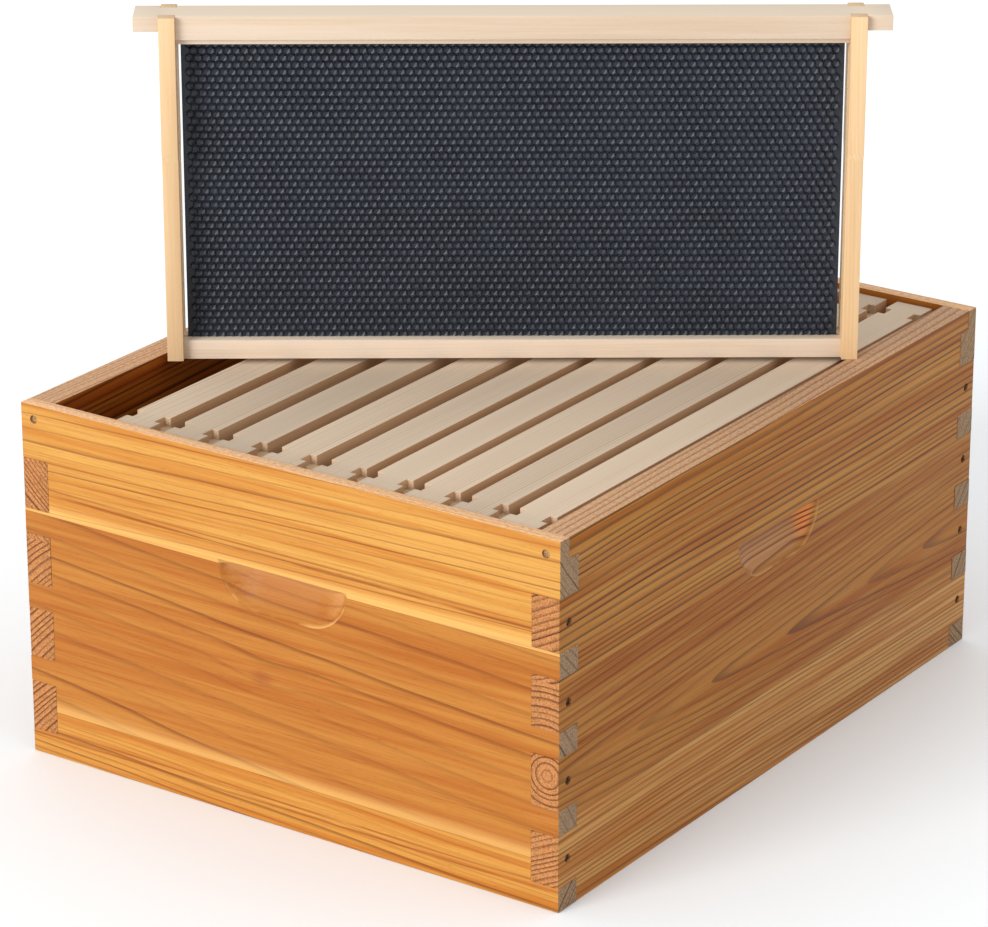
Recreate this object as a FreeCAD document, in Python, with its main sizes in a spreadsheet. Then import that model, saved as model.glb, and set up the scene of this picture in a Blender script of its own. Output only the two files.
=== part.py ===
import FreeCAD, Part
import os
import Sketcher

# A ten-frame deep hive box: four finger-jointed boards, nine frames hanging in it with one
# slot left empty, and a tenth frame standing across the rims of the two long boards.
# X runs across the frames, Y along them and Z up. The origin is on the ground, in the middle
# of the box. The box is sized from the frames that it holds.

driving = {
    # frames
    "topBarLength": 482.6,
    "topBarWidth": 27.0,
    "topBarHeight": 19.0,
    "topBarStepHeight": 3.6,      # the lower edge of a top bar is narrower by a step each side
    "topBarStepWidth": 3.2,
    "topBarNeck": 17.4,           # width left between the two prongs of an end bar
    "earLength": 16.3,
    "earHeight": 10.0,
    "frameDepth": 232.0,
    "shoulderWidth": 35.0,        # the wide upper part of an end bar, which spaces the frames
    "shoulderDrop": 90.0,
    "shoulderSlope": 7.0,
    "hungProngDrop": 6.0,         # a hanging frame's prongs end this far below its top bar's face
    "endBarFoot": 28.6,
    "endBarThickness": 10.5,
    "bottomBarWidth": 19.0,
    "bottomBarHeight": 12.7,
    "grooveWidth": 2.2,
    "grooveDepth": 4.0,
    # foundation sheets
    "sheetThickness": 1.4,
    "cellsThickness": 2.4,
    "sheetEndGap": 2.4,
    "sheetPlay": 0.5,             # left above the sheet in the groove of the top bar
    "cellsMargin": 1.2,
    # box
    "boardThickness": 20.0,
    "lipThickness": 9.8,
    "ledgeDrop": 13.5,            # the frames' ears rest on a ledge this far below the rim
    "earPlay": 1.4,
    "floorGap": 8.5,
    "shoulderGap": 0.2,
    "looseGap": 3.2,
    "wallGap": 3.4,
    "spareRoom": 21.0,
    "topFinger": 37.5,
    "endFinger": 17.5,
    "bottomFinger": 16.0,
    # hand-holds
    "scoopDrop": 71.0,            # from the rim down to the straight upper edge
    "scoopRadius": 30.0,
    "scoopStraight": 40.0,
    "scoopDepth": 12.0,
    # nails
    "nailHeadRadius": 2.8,
    "nailHeadHeight": 1.2,
    "nailSink": 1.4,
    "nailShankRadius": 1.5,
    "nailLength": 50.0,
    "nailClearance": 0.05,
    "topNailDrop": 10.0,
    # standing frame
    "rimBearing": 6.0,            # how far its outermost corners reach over the two rims
}

slotCount = 10
hungCount = 9
tightCount = 5                    # the last frames on the right stand shoulder to shoulder
sideFingerCount = 4

derived = {
    "overEndBars": "sizes.topBarLength - 2 * sizes.earLength",
    "innerWidth": f"{slotCount} * (sizes.shoulderWidth + sizes.shoulderGap) + sizes.spareRoom",
    "boxWidth": "innerWidth + 2 * sizes.boardThickness",
    "boxLength": "sizes.topBarLength + 2 * (sizes.earPlay + sizes.lipThickness)",
    "boxHeight": "sizes.floorGap + sizes.frameDepth - sizes.earHeight + sizes.ledgeDrop",
    "ledgeTop": "boxHeight - sizes.ledgeDrop",
    "sideFinger": f"(boxHeight - sizes.topFinger - sizes.bottomFinger"
                  f" - {sideFingerCount - 1} * sizes.endFinger) / {sideFingerCount}",
    "scoopTop": "boxHeight - sizes.scoopDrop",
    "scoopBall": "(sizes.scoopRadius ^ 2 + sizes.scoopDepth ^ 2) / (2 * sizes.scoopDepth)",
    "sheetLength": "overEndBars - 2 * (sizes.endBarThickness + sizes.sheetEndGap)",
    "sheetBottom": "sizes.bottomBarHeight - sizes.grooveDepth",
    "sheetTop": "sizes.frameDepth - sizes.topBarHeight + sizes.grooveDepth"
                " - sizes.sheetPlay",
    "reach": "sqrt(overEndBars ^ 2 + sizes.endBarFoot ^ 2) / 2",
    "standingTurn": "atan(sizes.endBarFoot / overEndBars)"
                    " + acos(min(1; (innerWidth / 2 + sizes.rimBearing) / reach))",
}

document = FreeCAD.newDocument("HiveBox")
sizes = document.addObject("Spreadsheet::Sheet", "sizes")
for row, (name, value) in enumerate(driving.items(), start=1):
    sizes.set(f"A{row}", str(value))
    sizes.setAlias(f"A{row}", name)
document.recompute()
worked = document.addObject("Spreadsheet::Sheet", "worked")
for row, (name, formula) in enumerate(derived.items(), start=1):
    worked.set(f"A{row}", "=" + formula)
    worked.setAlias(f"A{row}", name)
    document.recompute()

subParts = []


# Binds properties to expressions: a double underscore stands for the dot in a property's name.
def bind(item, **expressions):
    for name, expression in expressions.items():
        item.setExpression(name.replace("__", "."), expression)
    return item


# A box from its low corner and its three lengths, all of them expressions.
def block(name, corner, lengths):
    item = document.addObject("Part::Box", name)
    return bind(item, Length=lengths[0], Width=lengths[1], Height=lengths[2],
                Placement__Base__x=corner[0], Placement__Base__y=corner[1],
                Placement__Base__z=corner[2])


# A cylinder that starts at a point and runs along a unit vector.
def rod(name, start, along, radius, height):
    item = document.addObject("Part::Cylinder", name)
    up = FreeCAD.Vector(0, 0, 1)
    item.Placement.Rotation = FreeCAD.Rotation(up, FreeCAD.Vector(*along))
    return bind(item, Radius=radius, Height=height, Placement__Base__x=start[0],
                Placement__Base__y=start[1], Placement__Base__z=start[2])


def fused(name, items):
    item = document.addObject("Part::MultiFuse", name)
    item.Shapes = items
    return item


def carved(label, base, cutters):
    item = document.addObject("Part::Cut", label)
    item.Base = base
    item.Tool = fused(label + "Cutters", cutters)
    return keep(item, label)


def keep(item, label):
    item.Label = label
    subParts.append(item)
    return item


def sideFingerStart(k):
    return f"sizes.bottomFinger + {k} * (worked.sideFinger + sizes.endFinger)"


# The heights where an end board's fingers reach the corner, as (start, height).
endFingers = [("0", "sizes.bottomFinger")]
for k in range(sideFingerCount - 1):
    endFingers.append((f"{sideFingerStart(k)} + worked.sideFinger", "sizes.endFinger"))
endFingers.append(("worked.boxHeight - sizes.topFinger", "sizes.topFinger - sizes.ledgeDrop"))


# Every nail as (point on the outer face, direction in). Four go through the long board's fingers
# at each corner, and one goes through the short board's top finger.
nails = []
for sideX in (-1, 1):
    for sideY in (-1, 1):
        midY = f"{sideY} * (worked.boxLength - sizes.boardThickness) / 2"
        midX = f"{sideX} * (worked.boxWidth - sizes.boardThickness) / 2"
        for k in range(sideFingerCount):
            height = f"{sideFingerStart(k)} + worked.sideFinger / 2"
            nails.append(((f"{sideX} * worked.boxWidth / 2", midY, height), (-sideX, 0, 0)))
        height = "worked.boxHeight - sizes.topNailDrop"
        nails.append(((midX, f"{sideY} * worked.boxLength / 2", height), (0, -sideY, 0)))


# The nail's two cylinders, or the stepped hole that it lies in.
def nailSolids(name, point, along, hole):
    sunk = []
    for value, step in zip(point, along):
        sunk.append(value if hole or step == 0 else f"{value} + {step} * sizes.nailSink")
    slack = " + sizes.nailClearance" if hole else ""
    headHeight = "sizes.nailHeadHeight" + (" + sizes.nailSink" if hole else "")
    length = "sizes.nailLength" + (" + sizes.nailSink + sizes.nailClearance" if hole else "")
    return [rod(name + "Head", sunk, along, "sizes.nailHeadRadius" + slack, headHeight),
            rod(name + "Shank", sunk, along, "sizes.nailShankRadius" + slack, length)]


nailItems = []
holeItems = []
for number, (point, along) in enumerate(nails, start=1):
    nailItems.append(fused(f"nail{number}", nailSolids(f"nail{number}", point, along, False)))
    holeItems += nailSolids(f"nailHole{number}", point, along, True)
cornerNails = document.addObject("Part::Compound", "corner_nails")
cornerNails.Links = nailItems
keep(cornerNails, "corner_nails")
nailHoles = fused("nailHoles", holeItems)


# The space that a dished cutter leaves: a half cylinder along the board with a quarter ball at
# each end, all below the straight upper edge.
def scoop(name, faceX, faceY, outward):
    along = (abs(outward[1]), abs(outward[0]), 0)
    centre = [f"{face} + {step} * (worked.scoopBall - sizes.scoopDepth)"
              for face, step in zip((faceX, faceY), outward)]
    items = []
    for end in (-1, 1):
        ball = document.addObject("Part::Sphere", f"{name}Ball{end + 2}")
        ball.Angle1 = -90
        ball.Angle2 = 0
        shift = [f"{at} + {end * step} * sizes.scoopStraight / 2" for at, step in zip(centre, along)]
        bind(ball, Radius="worked.scoopBall", Placement__Base__x=shift[0],
             Placement__Base__y=shift[1], Placement__Base__z="worked.scoopTop")
        items.append(ball)
    start = [f"{at} - {step} * sizes.scoopStraight / 2" for at, step in zip(centre, along)]
    middle = rod(name + "Middle", (*start, "worked.scoopTop"), along, "worked.scoopBall",
                 "sizes.scoopStraight")
    axis = FreeCAD.Vector(*along)
    down = FreeCAD.Vector(0, 0, -1)
    middle.Placement.Rotation = FreeCAD.Rotation(down.cross(axis), down, axis, "ZYX")
    middle.Angle = 180
    return fused(name, items + [middle])


# A short board carries the frames: its upper inner edge is cut back to a thin lip over a ledge.
def endBoard(label, side):
    outer = f"{side} * worked.boxLength / 2"
    low = outer if side < 0 else f"{outer} - sizes.boardThickness"
    base = block(label + "Slab", ("-worked.boxWidth / 2", low, "0"),
                 ("worked.boxWidth", "sizes.boardThickness", "worked.boxHeight"))
    ledgeLow = f"{outer} + sizes.lipThickness" if side < 0 else f"{outer} - sizes.boardThickness"
    cutters = [block(label + "Ledge", ("-worked.boxWidth / 2", ledgeLow, "worked.ledgeTop"),
                     ("worked.boxWidth", "sizes.boardThickness - sizes.lipThickness",
                      "sizes.ledgeDrop"))]
    for end, x in enumerate(("-worked.boxWidth / 2", "worked.boxWidth / 2 - sizes.boardThickness")):
        for k in range(sideFingerCount):
            cutters.append(block(f"{label}Gap{end}{k}", (x, low, sideFingerStart(k)),
                                 ("sizes.boardThickness", "sizes.boardThickness",
                                  "worked.sideFinger")))
    cutters.append(scoop(label + "Scoop", "0", outer, (0, side)))
    return carved(label, base, cutters + [nailHoles])


# A long board. A small lug at each end of its upper edge closes the end of the ledge.
def sideBoard(label, side):
    outer = f"{side} * worked.boxWidth / 2"
    low = outer if side < 0 else f"{outer} - sizes.boardThickness"
    base = block(label + "Slab", (low, "-worked.boxLength / 2", "0"),
                 ("sizes.boardThickness", "worked.boxLength", "worked.boxHeight"))
    cutters = []
    for end in (-1, 1):
        edge = f"{end} * worked.boxLength / 2"
        y = edge if end < 0 else f"{edge} - sizes.boardThickness"
        for k, (z, height) in enumerate(endFingers):
            cutters.append(block(f"{label}Gap{end + 1}{k}", (low, y, z),
                                 ("sizes.boardThickness", "sizes.boardThickness", height)))
        lipLow = edge if end < 0 else f"{edge} - sizes.lipThickness"
        cutters.append(block(f"{label}LipGap{end + 1}", (low, lipLow, "worked.ledgeTop"),
                             ("sizes.boardThickness", "sizes.lipThickness", "sizes.ledgeDrop")))
    cutters.append(scoop(label + "Scoop", outer, "0", (side, 0)))
    return carved(label, base, cutters + [nailHoles])


endBoard("front_board", -1)
endBoard("back_board", 1)
sideBoard("left_board", -1)
sideBoard("right_board", 1)


# Closed outlines of straight edges, in a sketch on one of the body's own planes. Every corner is
# held by its two distances from the origin, each an expression.
def outlines(body, name, role, loops, shift="0"):
    sketch = body.newObject("Sketcher::SketchObject", name)
    plane = [item for item in body.Origin.OriginFeatures if item.Role == role][0]
    sketch.AttachmentSupport = [(plane, "")]
    sketch.MapMode = "FlatFace"
    sketch.setExpression("AttachmentOffset.Base.z", shift)
    first = 0
    for corners in loops:
        count = len(corners)
        at = [FreeCAD.Vector(*(float(body.evalExpression(value)) for value in corner), 0)
              for corner in corners]
        for k in range(count):
            sketch.addGeometry(Part.LineSegment(at[k], at[(k + 1) % count]), False)
        for k in range(count):
            after = first + (k + 1) % count
            sketch.addConstraint(Sketcher.Constraint("Coincident", first + k, 2, after, 1))
            for kind, value, number in zip(("DistanceX", "DistanceY"), corners[k], at[k]):
                held = sketch.addConstraint(Sketcher.Constraint(kind, -1, 1, first + k, 1, number))
                sketch.setExpression(f"Constraints[{held}]", value)
        first += count
    return sketch


def rectangle(lowX, lowY, highX, highY):
    return [(lowX, lowY), (highX, lowY), (highX, highY), (lowX, highY)]


# A pad or a pocket that reaches the same distance to both sides of its sketch.
def feature(body, kind, name, sketch, length):
    item = body.newObject("PartDesign::" + kind, name)
    item.Profile = sketch
    item.SideType = "Symmetric"
    item.setExpression("Length", length)
    sketch.Visibility = False
    return item


def topBar(body, name):
    ends = "sizes.topBarLength / 2"
    neckEnds = "worked.overEndBars / 2"
    top = "sizes.frameDepth"
    earLow = "sizes.frameDepth - sizes.earHeight"
    low = "sizes.frameDepth - sizes.topBarHeight"
    edge = "sizes.topBarWidth / 2"
    side = outlines(body, name + "Side", "YZ_Plane", [[
        (f"-{ends}", earLow), (f"-{neckEnds}", earLow), (f"-{neckEnds}", low), (neckEnds, low),
        (neckEnds, earLow), (ends, earLow), (ends, top), (f"-{ends}", top)]])
    feature(body, "Pad", name + "Bar", side, "sizes.topBarWidth")
    # the four notches that take the prongs of the end bars
    notches = []
    for signX in ("-", ""):
        for signY in ("-", ""):
            notches.append(rectangle(
                f"{signX}(sizes.topBarNeck / 2)", f"{signY}({neckEnds} - sizes.endBarThickness)",
                f"{signX}({edge})", f"{signY}({neckEnds})"))
    plan = outlines(body, name + "Plan", "XY_Plane", notches)
    beyondTop = 1.1               # the sketch lies at the foot, and the cut passes the top face
    feature(body, "Pocket", name + "Notches", plan, f"2 * {beyondTop} * sizes.frameDepth")
    # the narrower lower edge, and the groove that holds the foundation
    stepTop = f"{low} + sizes.topBarStepHeight"
    cuts = [rectangle("-sizes.grooveWidth / 2", low, "sizes.grooveWidth / 2",
                      f"{low} + sizes.grooveDepth")]
    for sign in ("-", ""):
        cuts.append(rectangle(f"{sign}({edge} - sizes.topBarStepWidth)", low,
                              f"{sign}({edge})", stepTop))
    section = outlines(body, name + "Section", "XZ_Plane", cuts)
    feature(body, "Pocket", name + "Steps", section,
            "worked.overEndBars - 2 * sizes.endBarThickness")


# An end bar whose two prongs end a given distance below the top bar's face.
def endBar(body, name, side, prongDrop):
    foot = "sizes.endBarFoot / 2"
    shoulder = "sizes.shoulderWidth / 2"
    fork = "sizes.topBarNeck / 2"
    slot = "sizes.bottomBarWidth / 2"
    top = f"sizes.frameDepth - {prongDrop}"
    forkLow = "sizes.frameDepth - sizes.topBarHeight"
    shoulderLow = "sizes.frameDepth - sizes.shoulderDrop"
    slopeLow = f"{shoulderLow} - sizes.shoulderSlope"
    right = [(slot, "sizes.bottomBarHeight"), (slot, "0"), (foot, "0"), (foot, slopeLow),
             (shoulder, shoulderLow), (shoulder, top), (fork, top), (fork, forkLow)]
    left = [(f"-{x}", z) for x, z in reversed(right)]
    shift = f"{-side} * (worked.overEndBars - sizes.endBarThickness) / 2"
    face = outlines(body, name + "Face", "XZ_Plane", [right + left], shift)
    feature(body, "Pad", name + "Bar", face, "sizes.endBarThickness")


def bottomBar(body, name):
    edge = "sizes.bottomBarWidth / 2"
    groove = "sizes.grooveWidth / 2"
    top = "sizes.bottomBarHeight"
    grooveLow = "sizes.bottomBarHeight - sizes.grooveDepth"
    section = outlines(body, name + "Section", "XZ_Plane", [[
        (f"-{edge}", "0"), (edge, "0"), (edge, top), (groove, top), (groove, grooveLow),
        (f"-{groove}", grooveLow), (f"-{groove}", top), (f"-{edge}", top)]])
    feature(body, "Pad", name + "Bar", section, "worked.overEndBars")


# A plastic sheet whose edges lie in the two grooves, thicker over the moulded cells.
def foundation(body, name):
    half = "worked.sheetLength / 2"
    sheet = outlines(body, name + "Sheet", "YZ_Plane", [
        rectangle(f"-{half}", "worked.sheetBottom", half, "worked.sheetTop")])
    feature(body, "Pad", name + "Core", sheet, "sizes.sheetThickness")
    inset = f"{half} - sizes.cellsMargin"
    field = outlines(body, name + "Field", "YZ_Plane", [
        rectangle(f"-({inset})", "sizes.bottomBarHeight + sizes.cellsMargin", inset,
                  "sizes.frameDepth - sizes.topBarHeight - sizes.cellsMargin")])
    feature(body, "Pad", name + "Cells", field, "sizes.cellsThickness")


# One frame of five pieces, all in the frame's own axes and moved by the same placement.
def frame(name, x, z, turn, prongDrop):
    makers = {
        "top_bar": topBar,
        "front_end_bar": lambda body, piece: endBar(body, piece, -1, prongDrop),
        "back_end_bar": lambda body, piece: endBar(body, piece, 1, prongDrop),
        "bottom_bar": bottomBar,
        "foundation": foundation,
    }
    for piece, make in makers.items():
        body = document.addObject("PartDesign::Body", f"{name}_{piece}")
        make(body, f"{name}_{piece}_")
        bind(body, Placement__Base__x=x, Placement__Base__z=z, Placement__Rotation__Angle=turn)
        keep(body, f"{name}_{piece}")


for place in range(hungCount):
    fromRight = hungCount - 1 - place
    loose = max(0, fromRight - tightCount + 1)
    x = ("worked.innerWidth / 2 - sizes.wallGap - sizes.shoulderWidth / 2"
         f" - {fromRight} * (sizes.shoulderWidth + sizes.shoulderGap) - {loose} * sizes.looseGap")
    frame(f"frame_{place + 1}", x, "sizes.floorGap", "0", "sizes.hungProngDrop")
frame("standing_frame", "0", "worked.boxHeight", "worked.standingTurn - 90 deg", "0")


document.recompute()
for item in document.Objects:
    for state in item.State:
        if state in ("Invalid", "Error"):
            raise RuntimeError(f"{item.Name} is {state}")
for item in subParts:
    if item.Shape.isNull() or not item.Shape.isValid() or item.Shape.Volume <= 0:
        raise RuntimeError(f"{item.Label} has no valid shape")

os.makedirs("parts", exist_ok=True)
for item in subParts:
    item.Shape.exportStep(f"parts/{item.Label}.step")
print(f"wrote {len(subParts)} sub-parts")
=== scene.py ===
import math
import random

import bmesh
import bpy
from mathutils import Matrix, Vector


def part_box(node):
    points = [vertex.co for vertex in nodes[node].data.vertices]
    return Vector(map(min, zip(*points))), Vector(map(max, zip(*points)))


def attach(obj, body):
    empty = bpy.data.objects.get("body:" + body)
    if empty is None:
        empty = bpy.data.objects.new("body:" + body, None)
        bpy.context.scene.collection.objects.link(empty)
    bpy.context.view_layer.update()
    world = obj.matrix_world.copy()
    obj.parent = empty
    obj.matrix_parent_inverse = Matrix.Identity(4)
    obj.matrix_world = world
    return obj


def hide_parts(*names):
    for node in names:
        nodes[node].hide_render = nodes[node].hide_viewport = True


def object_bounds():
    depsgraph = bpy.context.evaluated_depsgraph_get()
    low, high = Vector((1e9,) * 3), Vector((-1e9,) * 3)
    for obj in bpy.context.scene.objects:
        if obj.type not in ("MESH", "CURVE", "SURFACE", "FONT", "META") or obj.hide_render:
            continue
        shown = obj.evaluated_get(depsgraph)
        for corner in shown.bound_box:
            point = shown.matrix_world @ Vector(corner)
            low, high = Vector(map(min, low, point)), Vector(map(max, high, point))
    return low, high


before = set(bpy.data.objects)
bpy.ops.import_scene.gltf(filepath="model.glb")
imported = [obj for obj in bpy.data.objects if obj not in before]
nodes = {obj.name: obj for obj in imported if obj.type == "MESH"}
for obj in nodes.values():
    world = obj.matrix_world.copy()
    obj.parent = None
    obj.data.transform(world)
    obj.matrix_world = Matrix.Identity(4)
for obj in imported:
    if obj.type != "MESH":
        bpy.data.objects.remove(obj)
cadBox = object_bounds()
scene = bpy.context.scene
print("hive: frame loaded with", len(nodes), "parts")


def paint(red, green, blue):
    # screen values 0 to 255 as the linear colour that a socket takes
    linear = []
    for value in (red, green, blue):
        share = value / 255
        linear.append(share / 12.92 if share <= 0.04045 else ((share + 0.055) / 1.055) ** 2.4)
    return (*linear, 1.0)


class Recipe:
    # one material, and short calls that add nodes to it
    def __init__(self, name):
        self.material = bpy.data.materials.new(name)
        self.material.use_nodes = True
        self.tree = self.material.node_tree
        self.tree.nodes.clear()
        self.place = self.node("ShaderNodeTexCoord")

    def node(self, kind, feeds=None, **settings):
        made = self.tree.nodes.new(kind)
        for key, value in settings.items():
            setattr(made, key, value)
        for key, value in (feeds or {}).items():
            self.feed(made.inputs[key], value)
        return made

    def feed(self, socket, value):
        if isinstance(value, bpy.types.NodeSocket):
            self.tree.links.new(value, socket)
        else:
            socket.default_value = value

    def calc(self, operation, *values):
        made = self.node("ShaderNodeMath", operation=operation)
        for slot, value in enumerate(values):
            self.feed(made.inputs[slot], value)
        return made.outputs[0]

    def span(self, value, low, high, start=0.0, end=1.0, smooth=True):
        # start below low, end above high, and a soft change between them
        kind = "SMOOTHSTEP" if smooth else "LINEAR"
        feeds = {"Value": value, "From Min": low, "From Max": high, "To Min": start, "To Max": end}
        return self.node("ShaderNodeMapRange", feeds, interpolation_type=kind).outputs["Result"]

    def mix(self, share, first, second, blend="MIX"):
        made = self.node("ShaderNodeMix", data_type="RGBA", blend_type=blend)
        for slot, value in ((0, share), (6, first), (7, second)):
            self.feed(made.inputs[slot], value)
        return made.outputs[2]

    def tint(self, share, colour, tone):
        return self.mix(share, colour, self.mix(1.0, colour, paint(*tone), "MULTIPLY"))

    def axes(self, output, scale=1.0):
        split = self.node("ShaderNodeSeparateXYZ", {0: self.place.outputs[output]})
        found = {}
        for axis in "XYZ":
            socket = split.outputs[axis]
            found[axis] = socket if scale == 1.0 else self.calc("MULTIPLY", socket, scale)
        return found

    def point(self, x, y, z):
        return self.node("ShaderNodeCombineXYZ", {0: x, 1: y, 2: z}).outputs[0]

    def noise(self, point, detail=2.0, rough=0.5):
        feeds = {"Vector": point, "Scale": 1.0, "Detail": detail, "Roughness": rough}
        return self.node("ShaderNodeTexNoise", feeds).outputs[0]

    def grainNoise(self, kind, place):
        scales, detail, rough = grain[kind]
        spot = self.point(*[self.calc("MULTIPLY", length, scale) for length, scale in zip(place, scales)])
        return self.noise(spot, detail, rough)

    def chance(self, value):
        return self.node("ShaderNodeTexWhiteNoise", {"W": value}, noise_dimensions="1D").outputs["Value"]

    def finish(self, bsdf):
        output = self.node("ShaderNodeOutputMaterial")
        self.tree.links.new(bsdf.outputs[0], output.inputs[0])
        return self.material


# Grain textures: points per millimetre along, through and across the board, then detail and roughness.
grain = {
    "bend": ((0.0032, 0.014, 0.014), 2.0, 0.45),
    "fibre": ((0.014, 0.8, 0.8), 4.0, 0.65),
    "streak": ((0.0035, 0.06, 0.16), 3.0, 0.6),
    "pores": ((0.16, 2.2, 2.2), 2.0, 0.6),
    "patch": ((0.03, 0.03, 0.03), 3.0, 0.6),
    "sawn": ((0.3, 1.1, 0.0), 4.0, 0.75),
    "fuzz": ((1.0, 1.0, 1.0), 3.0, 0.7),
}
years = {
    "shiftThrough": 0.03,  # how much of a piece's own shift goes through the board
    "driftScale": 0.23, "drift": 2.6,  # runs of wide and narrow years
    "lateFull": 0.93, "lateEnd": 0.95,  # late wood is darkest just before the next spring
}
surface = {
    "fibreRough": 0.16, "lateRough": -0.08, "dryRough": 0.3, "ior": 1.45,
    "lateHeight": 0.35, "fibreHeight": 0.5, "coarseHeight": 0.7, "poreHeight": 0.2, "bumpDistance": 0.0006,
}


# Waxed pine, cut as a solid: growth rings round a pith that runs along the board,
# so faces show stripes and loops, and finger ends show arcs.
def growthRings(recipe, look, place, spread):
    # how much late wood there is at a spot, how far the grain bends there, and the rings' colour
    calc = recipe.calc
    along, through, across = place
    # each glued stave has its own pith, ring width and tone, changing at the joints' heights
    steps = [calc("GREATER_THAN", across, joint) for joint in look["joints"]]

    def perStave(key):
        values = [stave[key] for stave in look["staves"]]
        if isinstance(values[0], tuple):
            found = paint(*values[0])
            for step, value in zip(steps, values[1:]):
                found = recipe.mix(step, found, paint(*value))
            return found
        found = values[0]
        if len(set(values)) == 1:
            return found
        for step, before, value in zip(steps, values, values[1:]):
            found = calc("MULTIPLY_ADD", step, value - before, found)
        return found

    bend = calc("SUBTRACT", recipe.grainNoise("bend", place), 0.5)
    sideways = calc("SUBTRACT", through, perStave("pithThrough"))
    upwards = calc("SUBTRACT", across, perStave("pithAcross"))
    square = calc("MULTIPLY_ADD", sideways, sideways, calc("MULTIPLY", upwards, upwards))
    radius = calc("SQRT", square)
    radius = calc("MULTIPLY_ADD", along, perStave("taper"), radius)
    radius = calc("MULTIPLY_ADD", bend, perStave("wander"), radius)
    for knot in look.get("knots", ()):
        swirl = recipe.span(fromKnot(recipe, knot, place, knot["swirlLength"]), 0.0, knot["swirl"], 1.0, 0.0)
        radius = calc("MULTIPLY_ADD", swirl, knot["lift"], radius)
    count = calc("DIVIDE", radius, perStave("ringWidth"))
    drift = recipe.noise(recipe.point(calc("MULTIPLY", count, years["driftScale"]), 0.0, 0.0), 1.0)
    count = calc("MULTIPLY_ADD", drift, years["drift"], count)
    part = calc("FRACT", count)
    late = calc("MULTIPLY", recipe.span(part, perStave("lateStart"), years["lateFull"]),
                recipe.span(part, years["lateEnd"], 1.0, 1.0, 0.0))
    strength = recipe.span(recipe.chance(calc("FLOOR", count)), 0.0, 1.0, look["faintest"], 1.0, False)
    late = calc("MULTIPLY", late, strength)
    if look["ringSpread"]:
        late = calc("MULTIPLY", late, recipe.span(spread, 0.0, 1.0, 1.0 - look["ringSpread"], 1.0, False))
    colour = recipe.mix(calc("MULTIPLY", late, perStave("contrast")), perStave("early"), perStave("late"))
    return late, bend, colour


def fromKnot(recipe, knot, place, stretch):
    # distance from a knot, measured shorter along the grain
    along, _, across = place
    reach = recipe.point(recipe.calc("MULTIPLY", recipe.calc("SUBTRACT", along, knot["along"]), stretch), 0.0,
                         recipe.calc("SUBTRACT", across, knot["across"]))
    return recipe.node("ShaderNodeVectorMath", {0: reach}, operation="LENGTH").outputs["Value"]


def boardMarks(recipe, look, place, fibre, bend, colour):
    # knots, glue lines with the lighter band over them, and resin lines
    calc = recipe.calc
    across = place[2]
    for knot in look.get("knots", ()):
        away = fromKnot(recipe, knot, place, knot["length"])
        smudge = calc("MULTIPLY", recipe.span(away, 0.5, knot["size"], 1.0, 0.0), knot["depth"])
        colour = recipe.mix(smudge, colour, paint(*knot["tone"]))
    for joint in look["joints"]:
        over = calc("SUBTRACT", across, joint)
        band = recipe.span(over, 1.0, look["bandWidth"], look["band"], 0.0)
        band = calc("MULTIPLY", band, calc("GREATER_THAN", over, 0.0))
        colour = recipe.mix(band, colour, paint(*look["bandTone"]))
        glue = recipe.span(calc("ABSOLUTE", over), 0.1, 0.4, 0.4, 0.0)
        colour = recipe.mix(glue, colour, paint(*look["glue"]))
    for height, width, share in look.get("resinLines", ()):
        # a dark line that wanders a little and breaks up along the grain
        away = calc("MULTIPLY_ADD", bend, look["resinWander"], calc("SUBTRACT", across, height))
        away = calc("ABSOLUTE", away)
        mark = recipe.span(away, width * 0.2, width, share, 0.0)
        mark = calc("MULTIPLY", mark, recipe.span(fibre, 0.34, 0.52))
        colour = recipe.mix(mark, colour, paint(*look["resinTone"]))
    return colour


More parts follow.
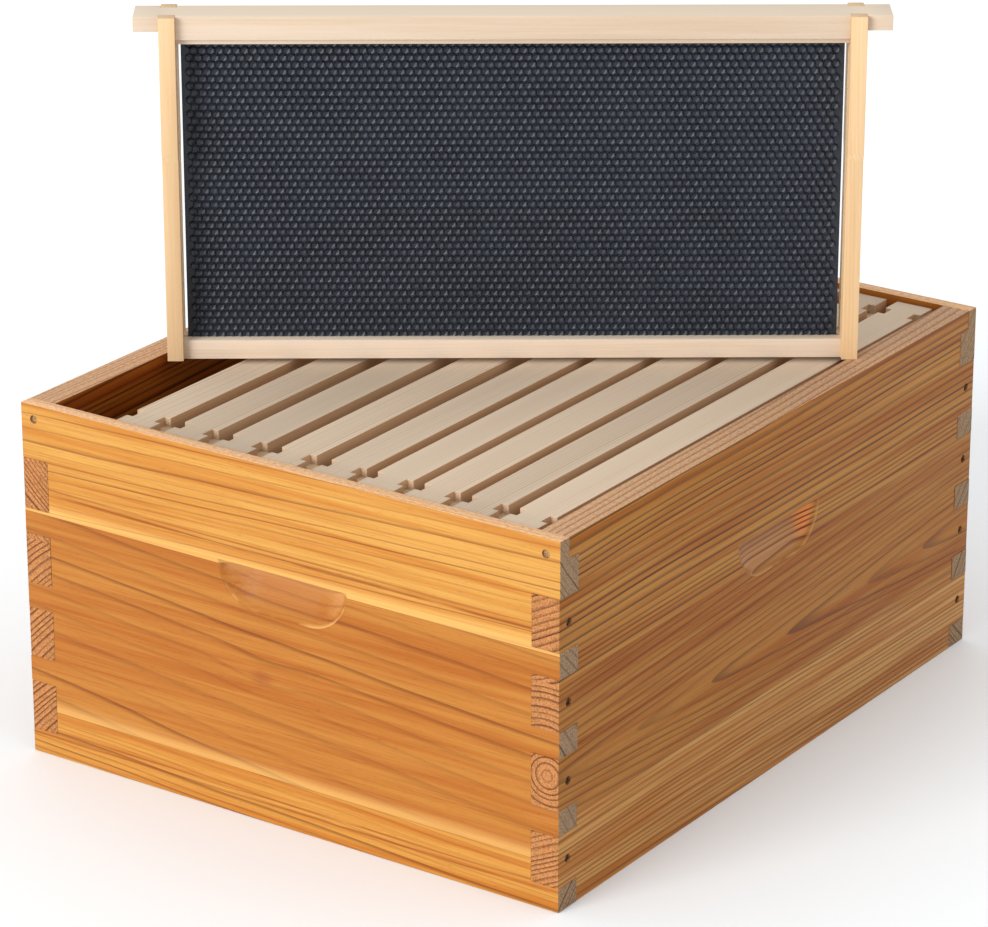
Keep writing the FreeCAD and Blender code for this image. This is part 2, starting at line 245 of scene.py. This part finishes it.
def holdMarks(recipe, look, place, facing, late, colour):
    # cut surfaces below the face, in hand holds and nail holes, get painted shade that grows with depth
    calc = recipe.calc
    long, thick, _ = look["axes"]
    depth = calc("ABSOLUTE", calc("SUBTRACT", place[1], look["face"]))
    skin = recipe.span(calc("ABSOLUTE", facing[thick]), 0.5, 0.97, 1.0, 0.25)
    recessShade = calc("MULTIPLY", recipe.span(depth, 0.6, look["recessShadeDepth"]), skin)
    colour = recipe.tint(calc("MULTIPLY", recessShade, look["recessShadeShare"]), colour, look["recessShadeTone"])
    # the hollow of a hand hold, with painted shade beneath its straight edge
    hollow = recipe.span(depth, look["holdDepth"] - 1.0, look["holdDepth"], 1.0, 0.0)
    hollow = calc("MULTIPLY", hollow, recipe.span(depth, 1.0, 5.0))
    edgeShade = recipe.span(place[2], look["holdTop"] - look["holdShade"], look["holdTop"])
    edgeShade = calc("MULTIPLY", edgeShade, hollow)
    holdWood = recipe.mix(calc("MULTIPLY", late, 0.8), paint(*look["holdTone"]), paint(*look["wallLate"]))
    colour = recipe.mix(calc("MULTIPLY", hollow, look["holdShare"]), colour, holdWood)
    colour = recipe.mix(calc("MULTIPLY", edgeShade, look["edgeShadeShare"]), colour, paint(*look["edgeShadeTone"]))
    # one rounded end, the one that faces the lamp, is cut across the grain and shows the rings; their bright
    # orange there is partly painted light
    wall = calc("MULTIPLY", recipe.span(calc("MULTIPLY", facing[long], -1.0), 0.12, 0.45), hollow)
    wallWood = recipe.mix(recipe.span(late, 0.05, 0.5), paint(*look["litWallEarly"]), paint(*look["wallLate"]))
    colour = recipe.mix(calc("MULTIPLY", wall, look["litWallShare"]), colour, wallWood)
    # arrises are lighter, in patches: partly wear from rubbing, partly a painted highlight along the rims of
    # the hollows
    rubbedAndLit = recipe.span(depth, 0.4, look["rubAndHighlightWidth"], 1.0, 0.0)
    rubbedAndLit = calc("MULTIPLY", rubbedAndLit, recipe.span(depth, 0.05, 0.3))
    rubbedAndLit = calc("MULTIPLY", rubbedAndLit, recipe.span(recipe.grainNoise("patch", place), 0.42, 0.62))
    return recipe.mix(calc("MULTIPLY", rubbedAndLit, look["rubAndHighlightShare"]), colour, paint(*look["rubAndHighlightTone"]))


def woodMaterial(name, look):
    recipe = Recipe(name)
    calc = recipe.calc
    spot = recipe.axes("Object", 1000.0)  # millimetres
    facing = recipe.axes("Normal")
    long, thick, wide = look["axes"]
    piece = recipe.node("ShaderNodeObjectInfo").outputs["Color"]
    own = recipe.node("ShaderNodeSeparateColor", {0: piece}).outputs
    along = calc("MULTIPLY_ADD", own[0], look["shuffle"], spot[long])
    through = calc("MULTIPLY_ADD", own[2], look["shuffle"] * years["shiftThrough"], spot[thick])
    place = (along, through, spot[wide])
    late, bend, colour = growthRings(recipe, look, place, own[2])
    fibre = recipe.grainNoise("fibre", place)
    pores = recipe.grainNoise("pores", place)

    # streaks along the grain, fine fibres and pores over the rings
    colour = recipe.tint(recipe.span(recipe.grainNoise("streak", place), 0.36, 0.68), colour, look["streak"])
    fibreShare = calc("MULTIPLY", recipe.span(fibre, 0.42, 0.72), look["fibre"])
    colour = recipe.tint(fibreShare, colour, look["fibreTone"])
    poreShare = calc("MULTIPLY", recipe.span(pores, 0.6, 0.78), look["pores"])
    colour = recipe.tint(poreShare, colour, look["poreTone"])
    colour = boardMarks(recipe, look, place, fibre, bend, colour)
    if look.get("face") is not None:
        colour = holdMarks(recipe, look, place, facing, late, colour)

    # finger ends and bar ends show end grain, greyer and rougher
    end = recipe.span(calc("ABSOLUTE", facing[long]), 0.6, 0.85)
    fuzz = recipe.grainNoise("fuzz", (spot["X"], spot["Y"], spot["Z"]))
    endWood = recipe.mix(late, paint(*look["endEarly"]), paint(*look["endLate"]))
    endWood = recipe.tint(recipe.span(fuzz, 0.35, 0.7), endWood, look["endFuzz"])
    colour = recipe.mix(calc("MULTIPLY", end, look["endShare"]), colour, endWood)

    # sawn top edge: dry and pinkish, with saw marks across it
    top = recipe.span(facing["Z"], 0.8, 0.95)
    if look.get("rimFrom") is not None:
        top = calc("MULTIPLY", top, recipe.span(spot["Z"], look["rimFrom"], look["rimFrom"] + 0.4))
    top = calc("MULTIPLY", top, look["rimShare"])
    sawn = recipe.grainNoise("sawn", (spot[long], through, spot[wide]))
    rimWood = recipe.tint(late, paint(*look["rim"]), look["rimLate"])
    if look["sawn"]:
        rimWood = recipe.tint(recipe.span(sawn, 0.35, 0.75), rimWood, look["rimFuzz"])
    colour = recipe.mix(top, colour, rimWood)

    # the inside faces are tinted darker and more orange, and made rougher
    inside = recipe.span(calc("MULTIPLY", facing[thick], look["inward"]), 0.6, 0.9)
    inside = calc("MULTIPLY", inside, look["insideShare"])
    colour = recipe.tint(inside, colour, look["insideTone"])
    # painted shade: faces looking across the bar's width are tinted darker, on the hung frames where their
    # sides face each other
    if look.get("sideShadeTone"):
        side = recipe.span(calc("ABSOLUTE", facing[wide]), 0.6, 0.85)
        colour = recipe.tint(side, colour, look["sideShadeTone"])
    # own tone of each piece
    tone = calc("MULTIPLY_ADD", own[1], look["toneRange"], 1.0 - look["toneRange"] * 0.5)
    colour = recipe.node("ShaderNodeHueSaturation", {"Value": tone, "Color": colour}).outputs[0]

    dry = calc("MAXIMUM", calc("MAXIMUM", end, top), inside)
    rough = calc("MULTIPLY_ADD", fibre, surface["fibreRough"], look["roughness"] - surface["fibreRough"] / 2)
    rough = calc("MULTIPLY_ADD", late, surface["lateRough"], rough)
    rough = calc("MULTIPLY_ADD", dry, surface["dryRough"], rough)
    height = calc("MULTIPLY", fibre, surface["fibreHeight"])
    height = calc("MULTIPLY_ADD", late, surface["lateHeight"], height)
    coarse = calc("MULTIPLY", dry, calc("MULTIPLY_ADD", sawn, look["sawn"], fuzz))
    height = calc("MULTIPLY_ADD", coarse, surface["coarseHeight"], height)
    height = calc("MULTIPLY_ADD", pores, surface["poreHeight"], height)
    bump = recipe.node("ShaderNodeBump", {
        "Strength": look["bump"], "Distance": surface["bumpDistance"], "Height": height})
    bsdf = recipe.node("ShaderNodeBsdfPrincipled", {
        "Base Color": colour, "Roughness": rough, "Normal": bump.outputs[0],
        "IOR": surface["ior"], "Specular IOR Level": look["sheen"]})
    return recipe.finish(bsdf)


boxWood = {
    "shuffle": 0.0, "faintest": 0.2, "ringSpread": 0.0, "fibre": 0.5, "pores": 0.45,
    "poreTone": (150, 120, 100), "fibreTone": (220, 192, 150), "streak": (236, 208, 168), "glue": (110, 66, 30),
    "band": 0.4, "bandWidth": 12.0, "bandTone": (226, 182, 108), "resinWander": 7.0,
    "endShare": 0.92, "endFuzz": (190, 172, 156),
    "rimFrom": 243.3, "rimShare": 0.9, "sawn": 1.0, "rimFuzz": (190, 166, 150), "rimLate": (205, 170, 150),
    "insideShare": 1.0, "insideTone": (236, 196, 130), "recessShadeShare": 0.8, "recessShadeTone": (226, 178, 132),
    "holdShare": 0.0, "holdTone": (214, 158, 96), "holdTop": 173.0, "holdShade": 16.0,
    "holdDepth": 13.4, "recessShadeDepth": 9.0,
    "edgeShadeShare": 0.5, "edgeShadeTone": (206, 156, 98),
    "litWallShare": 0.3, "litWallEarly": (206, 150, 92), "wallLate": (140, 84, 40),
    "rubAndHighlightWidth": 2.2, "rubAndHighlightShare": 0.45, "rubAndHighlightTone": (232, 184, 116),
    "toneRange": 0.0, "roughness": 0.46, "bump": 0.35, "sheen": 0.25,
}
frontStaves = [
    {"early": (190, 134, 58), "late": (112, 62, 18), "contrast": 0.8, "ringWidth": 3.2, "lateStart": 0.55,
     "pithThrough": 10.0, "pithAcross": -260.0, "taper": 0.03, "wander": 7.0},
    {"early": (172, 112, 43), "late": (108, 54, 8), "contrast": 0.72, "ringWidth": 8.4, "lateStart": 0.7,
     "pithThrough": -520.0, "pithAcross": -110.0, "taper": 0.05, "wander": 9.0},
    {"early": (196, 144, 68), "late": (118, 66, 20), "contrast": 0.75, "ringWidth": 3.8, "lateStart": 0.7,
     "pithThrough": 60.0, "pithAcross": 470.0, "taper": 0.015, "wander": 7.0},
]
backStaves = [
    {**frontStaves[0], "pithThrough": -10.0},
    {**frontStaves[1], "pithThrough": 520.0, "pithAcross": -140.0, "taper": -0.045, "ringWidth": 6.8},
    {**frontStaves[2], "pithThrough": -60.0, "pithAcross": 455.0},
]
rightStaves = [
    {"early": (192, 143, 82), "late": (80, 42, 14), "contrast": 0.85, "ringWidth": 3.4, "lateStart": 0.45,
     "pithThrough": 250.0, "pithAcross": -80.0, "taper": 0.02, "wander": 8.0},
    {"early": (168, 113, 50), "late": (92, 52, 16), "contrast": 0.75, "ringWidth": 4.6, "lateStart": 0.5,
     "pithThrough": 198.0, "pithAcross": 90.0, "taper": -0.05, "wander": 9.0},
    {"early": (176, 122, 55), "late": (58, 28, 6), "contrast": 0.97, "ringWidth": 4.2, "lateStart": 0.45,
     "pithThrough": 120.0, "pithAcross": 345.0, "taper": 0.012, "wander": 8.0},
]
leftStaves = [
    {**rightStaves[0], "pithThrough": -20.0, "pithAcross": -150.0},
    {**rightStaves[1], "pithThrough": -20.0, "pithAcross": -90.0, "ringWidth": 3.6, "lateStart": 0.5},
    {**rightStaves[2], "pithThrough": 40.0, "pithAcross": 440.0, "ringWidth": 3.0},
]
frontKnot = {"along": -17.0, "across": 100.0, "swirl": 24.0, "swirlLength": 0.45, "lift": 4.0,
             "size": 7.0, "length": 0.55, "depth": 0.45, "tone": (130, 56, 30)}
endBoard = {**boxWood, "axes": "XYZ", "joints": (32.0, 170.0),
            "endEarly": (158, 134, 106), "endLate": (70, 53, 39), "rim": (246, 202, 156)}
sideBoard = {**boxWood, "axes": "YXZ", "joints": (58.0, 151.0),
             "band": 0.12, "bandTone": (190, 142, 84),
             "edgeShadeShare": 0.42, "edgeShadeTone": (112, 82, 62), "recessShadeShare": 0.4, "recessShadeTone": (232, 206, 184),
             "holdShare": 0.42, "holdTone": (198, 152, 114),
             "litWallShare": 0.88, "litWallEarly": (226, 138, 74), "wallLate": (120, 52, 20),
             "rubAndHighlightTone": (206, 160, 108), "faintest": 0.45, "streak": (226, 192, 148), "sheen": 0.14,
             "endEarly": (184, 128, 80), "endLate": (84, 44, 24), "rim": (208, 172, 136)}
boardLooks = {
    "front_board": {**endBoard, "staves": frontStaves, "inward": 1.0, "face": -252.5,
                    "knots": (frontKnot,), "resinTone": (128, 62, 14),
                    "resinLines": ((184.0, 1.5, 0.8), (187.5, 1.0, 0.6), (14.0, 1.4, 0.7), (18.0, 1.0, 0.6))},
    "back_board": {**endBoard, "staves": backStaves, "inward": -1.0, "face": 252.5},
    "left_board": {**sideBoard, "staves": leftStaves, "inward": 1.0, "face": -206.5},
    "right_board": {**sideBoard, "staves": rightStaves, "inward": -1.0, "face": 206.5},
}


def cleanMesh(node, name, move=None):
    # the node's shape with welded corners and whole flat faces
    source = nodes[node].data
    mesh = bpy.data.meshes.new(name)
    mesh.from_pydata([v.co for v in source.vertices], [], [list(p.vertices) for p in source.polygons])
    work = bmesh.new()
    work.from_mesh(mesh)
    bmesh.ops.remove_doubles(work, verts=work.verts, dist=0.00001)
    bmesh.ops.dissolve_limit(work, angle_limit=math.radians(0.5), verts=work.verts, edges=work.edges)
    if move is not None:
        bmesh.ops.transform(work, matrix=move, verts=work.verts)
    return mesh, work


def easeEdges(mesh, work, ease):
    # sanded arrises: only long sharp edges, so small holes keep their shape
    sharp = [e for e in work.edges if e.is_manifold and e.calc_length() > ease["shortest"]
             and e.calc_face_angle(0.0) > math.radians(40)]
    bmesh.ops.bevel(work, geom=sharp, offset=ease["width"], segments=2, profile=0.6,
                    affect="EDGES", clamp_overlap=False)
    bmesh.ops.triangulate(work, faces=[f for f in work.faces if len(f.verts) > 4])
    bmesh.ops.recalc_face_normals(work, faces=work.faces)
    work.to_mesh(mesh)
    work.free()
    mesh.polygons.foreach_set("use_smooth", [True] * len(mesh.polygons))
    mesh.set_sharp_from_angle(angle=math.radians(32))
    mesh.update()


def addPiece(name, mesh, material, body, node, place=None):
    piece = bpy.data.objects.new(name, mesh)
    if place is not None:
        piece.matrix_world = place
    scene.collection.objects.link(piece)
    if not mesh.materials:
        mesh.materials.append(material)
    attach(piece, body)
    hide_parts(node)
    return piece


# Boards: every finger end stands a hair proud of the face, each by its own amount.
boardEase = {"width": 0.0005, "shortest": 0.004, "proud": 0.00035, "seed": 11}
chance = random.Random(boardEase["seed"])
for boardName, look in boardLooks.items():
    mesh, work = cleanMesh(boardName, boardName + "_wood")
    axis = "XYZ".index(look["axes"][0])
    reach = max(abs(v.co[axis]) for v in work.verts)
    ends = [f for f in work.faces if abs(abs(f.normal[axis]) - 1) < 0.001
            and abs(abs(f.calc_center_median()[axis]) - reach) < 0.0005]
    for face in sorted(ends, key=lambda f: (round(f.calc_center_median()[axis], 3),
                                            f.calc_center_median().z)):
        push = chance.uniform(0.0, boardEase["proud"])
        for vert in face.verts:
            vert.co[axis] += math.copysign(push, vert.co[axis])
    easeEdges(mesh, work, boardEase)
    pine = woodMaterial(boardName + "Pine", look)
    addPiece(boardName + "_wood", mesh, pine, "box", boardName)
print("hive: four boards with eased edges and solid grain")


# Frames: four bars of pale softwood round a moulded sheet. The nine hung frames share
# one set of meshes, and the standing frame has its own.
frameWood = {
    **boxWood, "joints": (), "shuffle": 900.0, "faintest": 0.15, "ringSpread": 0.8,
    "fibre": 0.3, "fibreTone": (238, 226, 210), "pores": 0.15, "streak": (244, 238, 230),
    "endShare": 0.8, "endEarly": (206, 180, 150), "endLate": (160, 128, 100), "endFuzz": (216, 202, 186),
    "rimFrom": None, "sawn": 0.0,
    "rimFuzz": (222, 212, 200), "rimLate": (206, 188, 166), "insideShare": 0.0, "inward": 1.0,
    "toneRange": 0.18, "roughness": 0.6, "bump": 0.2, "sheen": 0.15,
}
barStave = {"early": (212, 195, 173), "late": (180, 152, 120), "contrast": 0.4, "ringWidth": 1.7,
            "lateStart": 0.5, "pithThrough": 130.0, "pithAcross": 110.0, "taper": 0.012, "wander": 5.0}
endStave = {"early": (214, 182, 142), "late": (184, 140, 96), "contrast": 0.4, "ringWidth": 2.0,
            "lateStart": 0.5, "pithThrough": 110.0, "pithAcross": -90.0, "taper": 0.015, "wander": 5.0}
# the hung frames' bars carry painted shade on their sides, the standing frame's next to none
barLook = {**frameWood, "axes": "YZX", "staves": [barStave], "rim": (198, 178, 156), "rimShare": 0.85,
           "sideShadeTone": (234, 206, 180)}
standingStave = {**barStave, "early": (200, 184, 166), "late": (180, 158, 132), "contrast": 0.3}
standingLook = {**barLook, "staves": [standingStave], "rim": (206, 192, 174), "fibreTone": (244, 234, 222),
                "sideShadeTone": (255, 252, 250)}
endLook = {**frameWood, "axes": "ZYX", "staves": [endStave], "rim": (200, 172, 140), "rimShare": 0.6}
frameMaterials = {
    "bar": woodMaterial("framePine", barLook),
    "standingBar": woodMaterial("standingFramePine", standingLook),
    "end": woodMaterial("endBarPine", endLook),
}

frameEase = {"width": 0.00035, "shortest": 0.0015}
woodParts = ("top_bar", "front_end_bar", "back_end_bar", "bottom_bar")


def middle(node):
    low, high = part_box(node)
    return (low + high) / 2


def framePlace(name):
    # where a frame stands, and how it is turned: its own Y runs from front end bar to back end bar
    run = middle(name + "_back_end_bar") - middle(name + "_front_end_bar")
    turn = math.atan2(run.y, run.x) - math.pi / 2
    centre = middle(name + "_top_bar")
    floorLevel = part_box(name + "_bottom_bar")[0].z
    return Matrix.Translation((centre.x, centre.y, floorLevel)) @ Matrix.Rotation(turn, 4, "Z")


frameNames = [f"frame_{count}" for count in range(1, 10)] + ["standing_frame"]
patternPlace = framePlace("frame_1").inverted()
standingBack = framePlace("standing_frame").inverted()
frameMeshes = {}
standingMeshes = {}
patterns = (("frame_1", patternPlace, frameMeshes), ("standing_frame", standingBack, standingMeshes))
for part in woodParts:
    for pattern, back, made in patterns:
        mesh, work = cleanMesh(f"{pattern}_{part}", f"{pattern}_{part}_shape", back)
        easeEdges(mesh, work, frameEase)
        made[part] = mesh

# Foundation: a moulded sheet with a honeycomb pressed into both faces.
# The standing frame's cells have a sloped wall and an uneven floor, the hung ones a plain pit.
cells = {
    "sheet": 0.0014, "pitch": 0.0054, "margin": 0.0016, "wallTop": 0.0022, "core": 0.0004,
    "floor": 0.0011, "middle": 0.0003, "floorShare": 0.72, "tilt": 0.00022, "unevenness": 0.00035,
    "snapPerMetre": 20000, "seed": 23,
}


def honeycombMesh(name, low, high, plain):
    # low and high are the sheet's corners in the frame's own Y and Z
    thickness = cells["sheet"]
    work = bmesh.new()
    bmesh.ops.create_cube(work, size=1.0, matrix=Matrix.Translation(
        (0, (low.y + high.y) / 2, (low.z + high.z) / 2)) @ Matrix.Diagonal(
        (thickness, high.y - low.y, high.z - low.z, 1.0)))
    sharp = [e for e in work.edges if e.calc_length() > thickness * 2]
    bmesh.ops.bevel(work, geom=sharp, offset=thickness * 0.25, segments=2, affect="EDGES")
    side = cells["pitch"] / math.sqrt(3)
    rise = side * 1.5
    rows = int((high.z - low.z - 2 * cells["margin"] - side) / rise)
    columns = int((high.y - low.y - 2 * cells["margin"]) / cells["pitch"] - 0.5)
    startY = (low.y + high.y) / 2 - (columns - 0.5) / 2 * cells["pitch"]
    startZ = (low.z + high.z) / 2 - (rows - 1) / 2 * rise
    wobble = random.Random(cells["seed"])
    corners = [(math.cos(math.radians(60 * k + 30)), math.sin(math.radians(60 * k + 30))) for k in range(6)]
    for face in (1, -1):
        walls = {}

        def wallVert(y, z):
            key = (round(y * cells["snapPerMetre"]), round(z * cells["snapPerMetre"]))
            if key not in walls:
                walls[key] = work.verts.new((face * cells["wallTop"], y, z))
            return walls[key]

        made = []
        for row in range(rows):
            z = startZ + row * rise
            for column in range(columns):
                y = startY + (column + 0.5 * (row % 2)) * cells["pitch"]
                rim = [wallVert(y + side * c, z + side * s) for c, s in corners]
                if plain:
                    bottom = work.verts.new((face * cells["floor"], y, z))
                    made += [(rim[k], rim[(k + 1) % 6], bottom) for k in range(6)]
                    continue
                share = side * cells["floorShare"]
                base = []
                for k, (c, s) in enumerate(corners):
                    level = cells["floor"] + cells["tilt"] * (1 if k % 2 else -1)
                    base.append(work.verts.new((face * level, y + share * c, z + share * s)))
                off = [wobble.uniform(-cells["unevenness"], cells["unevenness"]) for _ in range(3)]
                bottom = work.verts.new((face * (cells["middle"] + abs(off[0])), y + off[1], z + off[2]))
                for k in range(6):
                    after = (k + 1) % 6
                    made.append((rim[k], rim[after], base[after], base[k]))
                    made.append((base[k], base[after], bottom))
        faces = [work.faces.new(corner if face == 1 else corner[::-1]) for corner in made]
        # close the outer cells down to the sheet
        openEdges = [e for f in faces for e in f.edges if len(e.link_faces) == 1]
        skirt = bmesh.ops.extrude_edge_only(work, edges=list(dict.fromkeys(openEdges)))
        for vert in skirt["geom"]:
            if isinstance(vert, bmesh.types.BMVert):
                vert.co.x = face * cells["core"]
    bmesh.ops.recalc_face_normals(work, faces=work.faces)
    mesh = bpy.data.meshes.new(name)
    work.to_mesh(mesh)
    work.free()
    mesh.polygons.foreach_set("use_smooth", [False] * len(mesh.polygons))
    return mesh


sheetLow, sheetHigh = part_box("frame_1_foundation")
sheetLow = patternPlace @ sheetLow
sheetHigh = patternPlace @ sheetHigh
sheetMeshes = {
    "plain": honeycombMesh("foundation_plain", sheetLow, sheetHigh, True),
    "full": honeycombMesh("foundation_full", sheetLow, sheetHigh, False),
}
foundationLook = {
    "dark": (17, 23, 35), "light": (24, 30, 42), "smear": (0.02, 0.02, 0.03),
    "waxTone": (40, 48, 64), "wax": (0.5, 0.5, 0.5), "roughness": 0.3, "bump": 0.3,
}


def foundationMaterial():
    recipe = Recipe("blackFoundation")
    spot = recipe.axes("Object", 1000.0)
    where = recipe.point(spot["X"], spot["Y"], spot["Z"])

    def cloud(scales, rough):
        scaled = recipe.node("ShaderNodeVectorMath", {0: where, 1: scales}, operation="MULTIPLY")
        return recipe.noise(scaled.outputs[0], 3.0, rough)

    smear = cloud(foundationLook["smear"], 0.6)
    wax = cloud(foundationLook["wax"], 0.65)
    dark, light = paint(*foundationLook["dark"]), paint(*foundationLook["light"])
    colour = recipe.mix(recipe.span(smear, 0.35, 0.65), dark, light)
    colour = recipe.mix(recipe.span(wax, 0.5, 0.75), colour, paint(*foundationLook["waxTone"]))
    rough = recipe.calc("MULTIPLY_ADD", wax, 0.25, foundationLook["roughness"])
    bump = recipe.node("ShaderNodeBump", {
        "Strength": foundationLook["bump"], "Distance": 0.0003, "Height": wax})
    bsdf = recipe.node("ShaderNodeBsdfPrincipled", {
        "Base Color": colour, "Roughness": rough, "Normal": bump.outputs[0], "IOR": 1.49})
    return recipe.finish(bsdf)


sheetBlack = foundationMaterial()
frameTones = {"seed": 5, "standingBottomPaintedLight": 1.5}
chance = random.Random(frameTones["seed"])
for name in frameNames:
    standing = name == "standing_frame"
    place = framePlace(name)
    for part in woodParts:
        mesh = standingMeshes[part] if standing else frameMeshes[part]
        kind = "end" if "end_bar" in part else ("standingBar" if standing else "bar")
        node = f"{name}_{part}"
        piece = addPiece(node + "_wood", mesh, frameMaterials[kind], name, node, place)
        tone = [chance.random() for _ in range(3)]
        # painted light: the standing frame's bottom bar gets a brighter tone than any random one, making up for
        # the shade it sits in
        if standing and part == "bottom_bar":
            tone[1] = frameTones["standingBottomPaintedLight"]
        piece.color = (*tone, 1.0)
    node = f"{name}_foundation"
    sheetMesh = sheetMeshes["full" if standing else "plain"]
    addPiece(node + "_cells", sheetMesh, sheetBlack, name, node, place)
print("hive: ten frames with honeycomb foundation")


nailLook = {
    "clean": (98, 84, 68), "stained": (58, 44, 34),
    "frontClean": (186, 150, 104), "frontStained": (128, 92, 56),
    "metal": 0.9, "smooth": 0.35, "rough": 0.7, "bump": 0.4,
}


def nailMaterial():
    # heads on the short boards are brighter than those on the long ones
    recipe = Recipe("nailSteel")
    spot = recipe.axes("Object", 1000.0)
    stain = recipe.noise(recipe.point(spot["X"], spot["Y"], spot["Z"]), 4.0, 0.65)
    front = recipe.span(recipe.calc("ABSOLUTE", recipe.axes("Normal")["Y"]), 0.6, 0.9)
    share = recipe.span(stain, 0.4, 0.65)
    side = recipe.mix(share, paint(*nailLook["clean"]), paint(*nailLook["stained"]))
    bright = recipe.mix(share, paint(*nailLook["frontClean"]), paint(*nailLook["frontStained"]))
    colour = recipe.mix(front, side, bright)
    rough = recipe.span(stain, 0.3, 0.7, nailLook["smooth"], nailLook["rough"])
    bump = recipe.node("ShaderNodeBump", {"Strength": nailLook["bump"], "Distance": 0.0002, "Height": stain})
    bsdf = recipe.node("ShaderNodeBsdfPrincipled", {
        "Base Color": colour, "Metallic": nailLook["metal"], "Roughness": rough, "Normal": bump.outputs[0]})
    return recipe.finish(bsdf)


nails = nodes["corner_nails"]
nails.data.materials.clear()
nails.data.materials.append(nailMaterial())
print("hive: nails")

# Studio: a wide pale floor, even white surroundings and one large soft lamp from the front.
studio = {
    "floorSize": 14.0, "floorTone": (246, 249, 251), "floorCloud": (243, 246, 248),
    "surround": 0.95, "surroundColour": (0.99, 0.995, 1.0, 1.0), "keyColour": (1.0, 0.99, 0.97),
    "keyPower": 2.6, "keyAzimuth": -14.0, "keyHeight": 17.0, "keySoftness": 34.0,
    "lens": 162.2, "spot": (1.5466, -2.2665, 1.2415), "tilt": 68.6, "swing": 34.56,
}


def floorMaterial():
    recipe = Recipe("paleFloor")
    spot = recipe.axes("Object", 1.0)
    cloud = recipe.noise(recipe.point(spot["X"], spot["Y"], spot["Z"]), 3.0, 0.5)
    shade = recipe.mix(cloud, paint(*studio["floorTone"]), paint(*studio["floorCloud"]))
    bsdf = recipe.node("ShaderNodeBsdfPrincipled", {
        "Base Color": shade, "Roughness": 0.8, "Specular IOR Level": 0.2})
    return recipe.finish(bsdf)


half = studio["floorSize"] / 2
floorMesh = bpy.data.meshes.new("floor")
floorCorners = [(-half, -half, 0), (half, -half, 0), (half, half, 0), (-half, half, 0)]
floorMesh.from_pydata(floorCorners, [], [(0, 1, 2, 3)])
floorMesh.materials.append(floorMaterial())
floor = bpy.data.objects.new("floor", floorMesh)
floor.location.z = cadBox[0].z - 0.0002
scene.collection.objects.link(floor)

world = bpy.data.worlds.new("studio")
scene.world = world
world.use_nodes = True
surround = world.node_tree.nodes["Background"]
surround.inputs["Color"].default_value = studio["surroundColour"]
surround.inputs["Strength"].default_value = studio["surround"]

keyData = bpy.data.lights.new("key", "SUN")
keyData.energy = studio["keyPower"]
keyData.angle = math.radians(studio["keySoftness"])
keyData.color = studio["keyColour"]
key = bpy.data.objects.new("key", keyData)
key.rotation_euler = (math.radians(90 - studio["keyHeight"]), 0, math.radians(studio["keyAzimuth"]))
scene.collection.objects.link(key)

cameraData = bpy.data.cameras.new("camera")
cameraData.lens = studio["lens"]
cameraData.sensor_width = 36.0
camera = bpy.data.objects.new("camera", cameraData)
camera.location = studio["spot"]
camera.rotation_euler = (math.radians(studio["tilt"]), 0, math.radians(studio["swing"]))
scene.collection.objects.link(camera)
scene.camera = camera
scene.view_settings.view_transform = "Standard"
print("hive: studio and camera")
